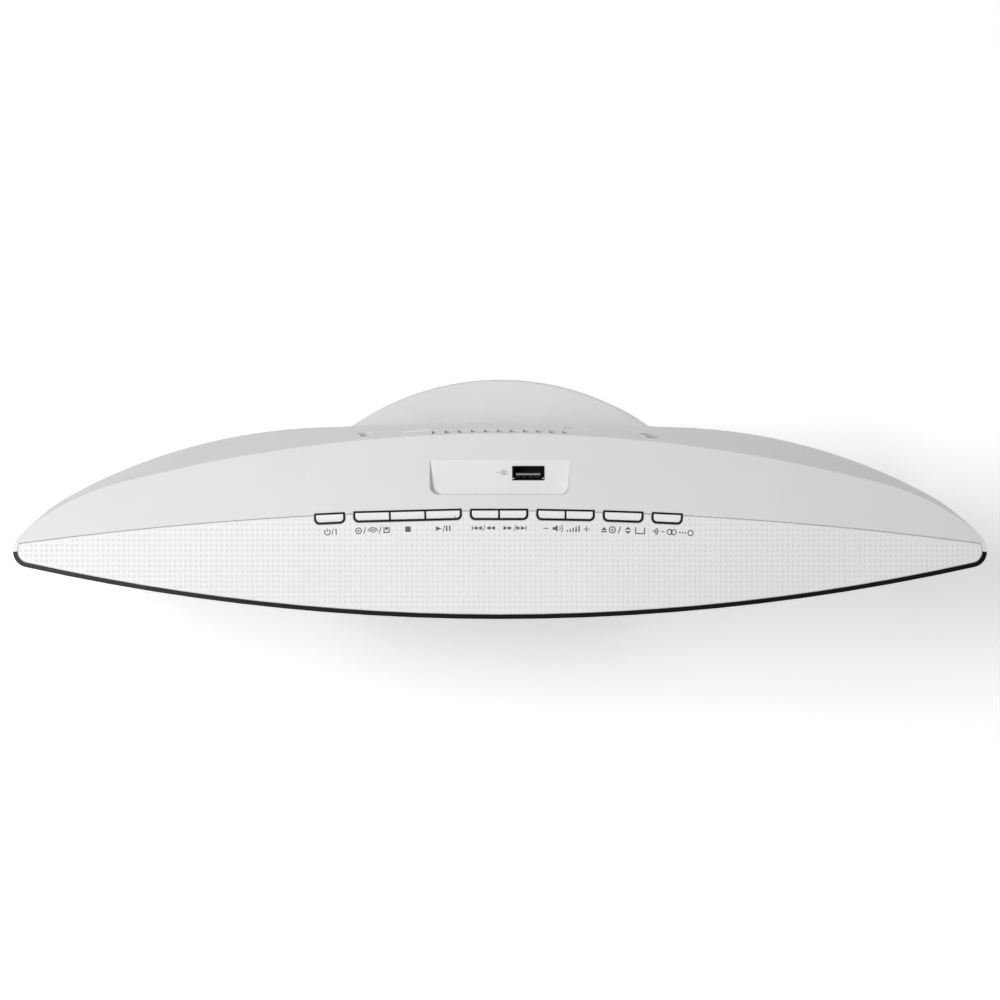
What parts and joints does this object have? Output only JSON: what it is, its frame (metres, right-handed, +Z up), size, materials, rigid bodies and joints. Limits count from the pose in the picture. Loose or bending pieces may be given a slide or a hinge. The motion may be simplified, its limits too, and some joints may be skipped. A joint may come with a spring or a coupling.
{
  "type": "portable cd player",
  "caption": "Slim upright compact disc stereo: shallow lens-shaped cabinet on a flat foot, sliding curved front door, top button row, USB recess and rear keyholes for a wall.",
  "frame": {"origin": "on the floor under the pads, in the middle of the width and of the overall depth including the foot plate", "axes": "+Z up, -Y the front with the sliding door, +X to the right as seen from the front"},
  "size_m": [0.4, 0.107, 0.2133],
  "materials": {
    "white_shell": "smooth matte white moulding",
    "black_gloss": "glossy black moulding",
    "inner_frame": "dark inner moulding",
    "grille_metal": "white painted perforated sheet",
    "door_gloss": "glossy white moulding",
    "smoked_window": "smoked polished window",
    "display_dark": "dark display module",
    "button_white": "satin white key caps",
    "stand_grey": "light grey foot plate",
    "rubber_dark": "soft dark rubber",
    "mechanism_plastic": "black mechanism moulding",
    "steel": "bright steel",
    "gear_plastic": "pale acetal gears",
    "lens_glass": "coated lens",
    "speaker_box_plastic": "black speaker box",
    "driver_steel": "black pressed steel",
    "magnet_ferrite": "dark ferrite magnet",
    "cone_paper": "pressed paper cone",
    "board_green": "solder-masked circuit board",
    "chip_black": "moulded components",
    "transformer_copper": "laminated core and winding",
    "capacitor_blue": "sleeved capacitors",
    "heat_sink_alu": "ribbed aluminium",
    "jack_metal": "plated aerial jack"
  },
  "bodies": {
    "cabinet": {"antenna_jack": "jack_metal", "bottom_panel": "white_shell", "button_frame": "black_gloss", "cabinet_screws": "steel", "chassis_dampers": "rubber_dark", "control_board": "board_green", "disc_well": "mechanism_plastic", "display_module": "display_dark", "display_window": "smoked_window", "door_motor": "steel", "driver_frame_left": "driver_steel", "driver_frame_right": "driver_steel", "driver_magnet_left": "magnet_ferrite", "driver_magnet_right": "magnet_ferrite", "driver_surround_left": "rubber_dark", "driver_surround_right": "rubber_dark", "front_bezel": "black_gloss", "front_cabinet": "inner_frame", "guide_rods": "steel", "heat_sink": "heat_sink_alu", "inlet_pins": "steel", "main_board": "board_green", "main_board_chips": "chip_black", "mechanism_chassis": "steel", "power_board": "board_green", "power_capacitors": "capacitor_blue", "power_inlet": "chip_black", "power_transformer": "transformer_copper", "rear_cabinet": "white_shell", "sled_motor": "steel", "speaker_box_left": "speaker_box_plastic", "speaker_box_right": "speaker_box_plastic", "speaker_grille_left": "grille_metal", "speaker_grille_right": "grille_metal", "spindle_motor": "steel", "stand_pads": "rubber_dark", "stand_plate": "stand_grey", "stand_screws": "steel", "tact_switches": "chip_black", "top_panel": "white_shell", "usb_socket_core": "chip_black", "usb_socket_shell": "steel"},
    "disc_door": {"disc_door": "door_gloss"},
    "door_pinion": {"door_pinion": "gear_plastic"},
    "turntable": {"turntable": "mechanism_plastic"},
    "pickup_sled": {"pickup_sled": "mechanism_plastic", "pickup_lens": "lens_glass"},
    "sled_pinion": {"sled_pinion": "gear_plastic"},
    "driver_cone_left": {"driver_cone_left": "cone_paper"},
    "driver_cone_right": {"driver_cone_right": "cone_paper"},
    "power_button": {"power_button": "button_white"},
    "source_button": {"source_button": "button_white"},
    "stop_button": {"stop_button": "button_white"},
    "play_button": {"play_button": "button_white"},
    "skip_back_button": {"skip_back_button": "button_white"},
    "skip_forward_button": {"skip_forward_button": "button_white"},
    "volume_down_button": {"volume_down_button": "button_white"},
    "volume_up_button": {"volume_up_button": "button_white"},
    "eject_button": {"eject_button": "button_white"},
    "wireless_button": {"wireless_button": "button_white"}
  },
  "joints": [
    {"name": "door_slide", "type": "hinge", "parent": "cabinet", "child": "disc_door", "pos_m": [0, 0.8465, 0.1286], "axis": [0, 0, 1], "range_deg": [0, 8.15]},
    {"name": "door_pinion_spin", "type": "hinge", "parent": "cabinet", "child": "door_pinion", "pos_m": [0.06391, -0.04602, 0.04475], "axis": [-0.0714, 0.9974, 0], "range_deg": [-20, 1539]},
    {"name": "turntable_spin", "type": "hinge", "parent": "cabinet", "child": "turntable", "pos_m": [0, -0.0428, 0.1286], "axis": [0, -1, 0], "continuous": true},
    {"name": "sled_slide", "type": "slide", "parent": "cabinet", "child": "pickup_sled", "axis": [-1, 0, 0], "range_m": [0, 0.028]},
    {"name": "sled_pinion_spin", "type": "hinge", "parent": "cabinet", "child": "sled_pinion", "pos_m": [-0.034, -0.0315, 0.09938], "axis": [0, 1, 0], "range_deg": [-345, 10]},
    {"name": "power_button_press", "type": "slide", "parent": "cabinet", "child": "power_button", "axis": [0, 0, -1], "range_m": [0, 0.0005], "stiffness_N_per_m": 400, "springref_m": -0.0002},
    {"name": "source_button_press", "type": "slide", "parent": "cabinet", "child": "source_button", "axis": [0, 0, -1], "range_m": [0, 0.0005], "stiffness_N_per_m": 400, "springref_m": -0.0002},
    {"name": "stop_button_press", "type": "slide", "parent": "cabinet", "child": "stop_button", "axis": [0, 0, -1], "range_m": [0, 0.0005], "stiffness_N_per_m": 400, "springref_m": -0.0002},
    {"name": "play_button_press", "type": "slide", "parent": "cabinet", "child": "play_button", "axis": [0, 0, -1], "range_m": [0, 0.0005], "stiffness_N_per_m": 400, "springref_m": -0.0002},
    {"name": "skip_back_button_press", "type": "slide", "parent": "cabinet", "child": "skip_back_button", "axis": [0, 0, -1], "range_m": [0, 0.0005], "stiffness_N_per_m": 400, "springref_m": -0.0002},
    {"name": "skip_forward_button_press", "type": "slide", "parent": "cabinet", "child": "skip_forward_button", "axis": [0, 0, -1], "range_m": [0, 0.0005], "stiffness_N_per_m": 400, "springref_m": -0.0002},
    {"name": "volume_down_button_press", "type": "slide", "parent": "cabinet", "child": "volume_down_button", "axis": [0, 0, -1], "range_m": [0, 0.0005], "stiffness_N_per_m": 400, "springref_m": -0.0002},
    {"name": "volume_up_button_press", "type": "slide", "parent": "cabinet", "child": "volume_up_button", "axis": [0, 0, -1], "range_m": [0, 0.0005], "stiffness_N_per_m": 400, "springref_m": -0.0002},
    {"name": "eject_button_press", "type": "slide", "parent": "cabinet", "child": "eject_button", "axis": [0, 0, -1], "range_m": [0, 0.0005], "stiffness_N_per_m": 400, "springref_m": -0.0002},
    {"name": "wireless_button_press", "type": "slide", "parent": "cabinet", "child": "wireless_button", "axis": [0, 0, -1], "range_m": [0, 0.0005], "stiffness_N_per_m": 400, "springref_m": -0.0002},
    {"name": "cone_left_stroke", "type": "slide", "parent": "cabinet", "child": "driver_cone_left", "axis": [-0.1475, -0.9891, 0], "range_m": [-0.001, 0.001], "stiffness_N_per_m": 1500},
    {"name": "cone_right_stroke", "type": "slide", "parent": "cabinet", "child": "driver_cone_right", "axis": [0.1475, -0.9891, 0], "range_m": [-0.001, 0.001], "stiffness_N_per_m": 1500}
  ],
  "couplings": [
    {"joint": "door_pinion_spin", "follows": "door_slide", "ratio": 186.42},
    {"joint": "sled_pinion_spin", "follows": "sled_slide", "rad_per_m": -208.33}
  ]
}
